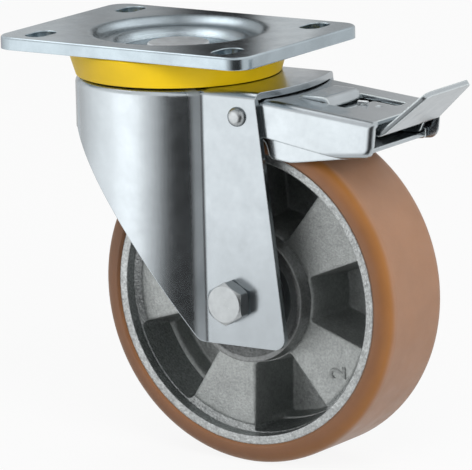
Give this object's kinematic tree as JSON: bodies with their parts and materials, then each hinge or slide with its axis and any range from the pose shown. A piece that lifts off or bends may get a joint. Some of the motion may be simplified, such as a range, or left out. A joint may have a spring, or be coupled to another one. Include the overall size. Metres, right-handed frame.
{
  "type": "swivel castor",
  "caption": "Swivel castor with slotted rectangular top plate, pressed fork, foot pedal brake and a wheel with cast spoked centre and moulded tread.",
  "frame": {"origin": "centre of the top plate's mounting face, on the swivel axis", "axes": "+Z out of the top plate along the swivel axis, X along the wheel's axle, -Y towards the trailing wheel and the brake pedal"},
  "size_m": [0.105, 0.2194, 0.199],
  "materials": {
    "zinc_plate": "bright zinc plated sheet steel",
    "bright_steel": "turned or cold formed steel, zinc plated",
    "ball_steel": "polished bearing steel",
    "yellow_plastic": "moulded plastic, yellow",
    "cast_aluminium": "die cast",
    "brown_tread": "moulded polyurethane, brown"
  },
  "bodies": {
    "plate": {"top_plate": "zinc_plate", "kingpin": "bright_steel", "clamp_sleeve": "bright_steel", "lower_race": "zinc_plate", "lock_disc": "zinc_plate", "lock_teeth": "zinc_plate", "kingpin_nut": "bright_steel", "seal_ring": "yellow_plastic"},
    "fork": {"fork": "zinc_plate", "upper_balls": "ball_steel", "lower_balls": "ball_steel", "brake_housing": "zinc_plate", "pivot_rivet_left": "bright_steel", "pivot_rivet_right": "bright_steel", "pedal_pin": "bright_steel", "return_spring": "bright_steel", "axle_bolt": "bright_steel", "axle_nut": "bright_steel", "axle_tube": "bright_steel", "side_bush_left": "bright_steel", "side_bush_right": "bright_steel", "bearing_spacer": "bright_steel", "bearing_inner_left": "ball_steel", "bearing_inner_right": "ball_steel"},
    "wheel": {"wheel_hub": "cast_aluminium", "wheel_web": "cast_aluminium", "wheel_rim": "cast_aluminium", "tyre": "brown_tread", "bearing_outer_left": "ball_steel", "bearing_outer_right": "ball_steel"},
    "lever": {"brake_lever": "zinc_plate", "brake_shoe": "zinc_plate"},
    "pedal": {"pedal": "zinc_plate"}
  },
  "joints": [
    {"name": "swivel", "type": "hinge", "parent": "plate", "child": "fork", "pos_m": [0, 0, -0.0147], "axis": [0, 0, 1], "continuous": true},
    {"name": "wheel_spin", "type": "hinge", "parent": "fork", "child": "wheel", "pos_m": [0, -0.05, -0.119], "axis": [1, 0, 0], "continuous": true},
    {"name": "pedal_turn", "type": "hinge", "parent": "fork", "child": "pedal", "pos_m": [0, -0.105, -0.0375], "axis": [1, 0, 0], "range_deg": [0, 25]},
    {"name": "lever_turn", "type": "hinge", "parent": "fork", "child": "lever", "pos_m": [0, -0.0545, -0.0312], "axis": [1, 0, 0], "range_deg": [0, 4.5]}
  ],
  "couplings": [
    {"joint": "lever_turn", "follows": "pedal_turn", "ratio": 0.18}
  ]
}
